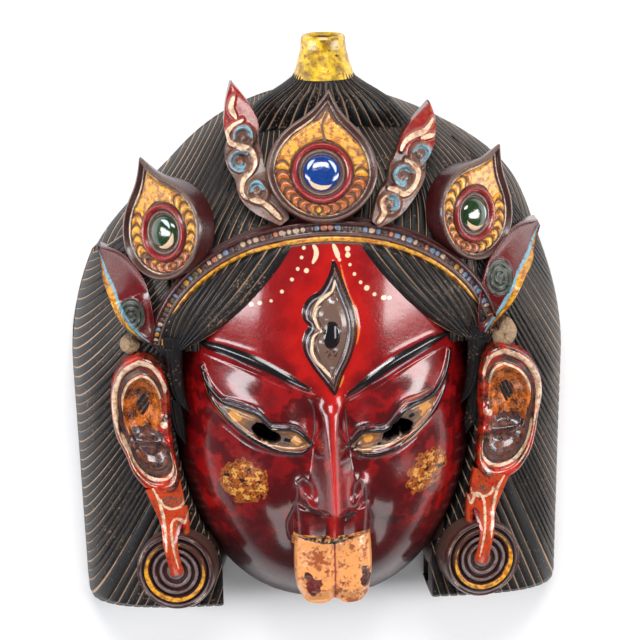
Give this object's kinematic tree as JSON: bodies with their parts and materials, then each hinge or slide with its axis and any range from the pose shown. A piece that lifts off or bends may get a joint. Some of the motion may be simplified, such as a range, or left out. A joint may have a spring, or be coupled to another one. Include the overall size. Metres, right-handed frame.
{
  "type": "carved mask",
  "caption": "Carved and lacquered wooden mask of a three-eyed face with a crown band, jewelled petals, long hair and ear discs, hollow behind.",
  "frame": {"origin": "middle of the mask's width and height, on the plane of its flat back", "axes": "+X to the viewer's right, +Y up the mask towards the top-knot, +Z out of the face; the mask lies on its back"},
  "size_m": [0.3, 0.348, 0.1309],
  "materials": {
    "lacquered_wood": "painted and lacquered: deep red face, black hair, gold, light blue and cream ornament, worn",
    "plug_fibre": "matt beige fibre"
  },
  "bodies": {
    "root": {"mask": "lacquered_wood", "ear_plug_left": "plug_fibre", "ear_plug_right": "plug_fibre"}
  },
  "joints": []
}
